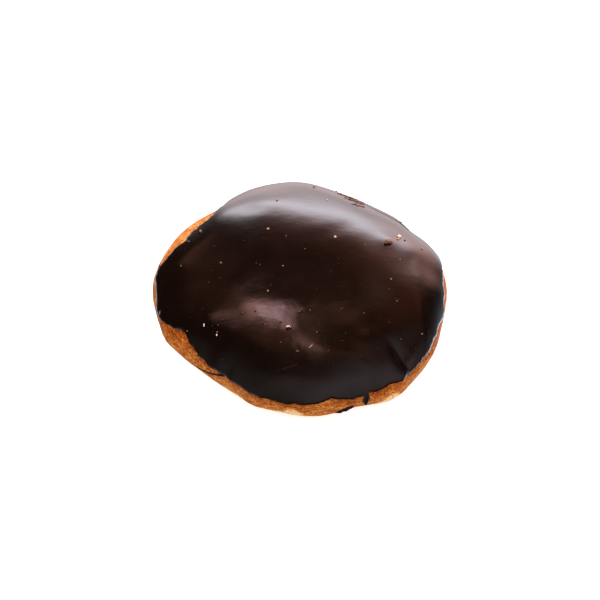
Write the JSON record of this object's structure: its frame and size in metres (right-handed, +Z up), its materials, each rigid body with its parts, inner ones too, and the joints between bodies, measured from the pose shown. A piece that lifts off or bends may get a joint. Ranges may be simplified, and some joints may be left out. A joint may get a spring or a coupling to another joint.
{
  "type": "boston cream doughnut",
  "caption": "Round, filled and uncut yeast doughnut, a low cushion shape of fried dough with glossy dark chocolate icing over its top.",
  "frame": {"origin": "centre of the bounding box's bottom face, on the surface the doughnut rests on", "axes": "+X along the doughnut's longest side, -Y towards the side that faces the viewer, +Z up through the icing"},
  "size_m": [0.0984, 0.084, 0.0373],
  "materials": {
    "crust": "fried dough crust, orange-brown with a pale ring, dull with a slight sheen of oil",
    "chocolate": "very dark chocolate icing, satin to glossy, with tiny bubbles and crumbs"
  },
  "bodies": {
    "root": {"dough": "crust", "icing": "chocolate", "icing_smear": "chocolate"}
  },
  "joints": []
}
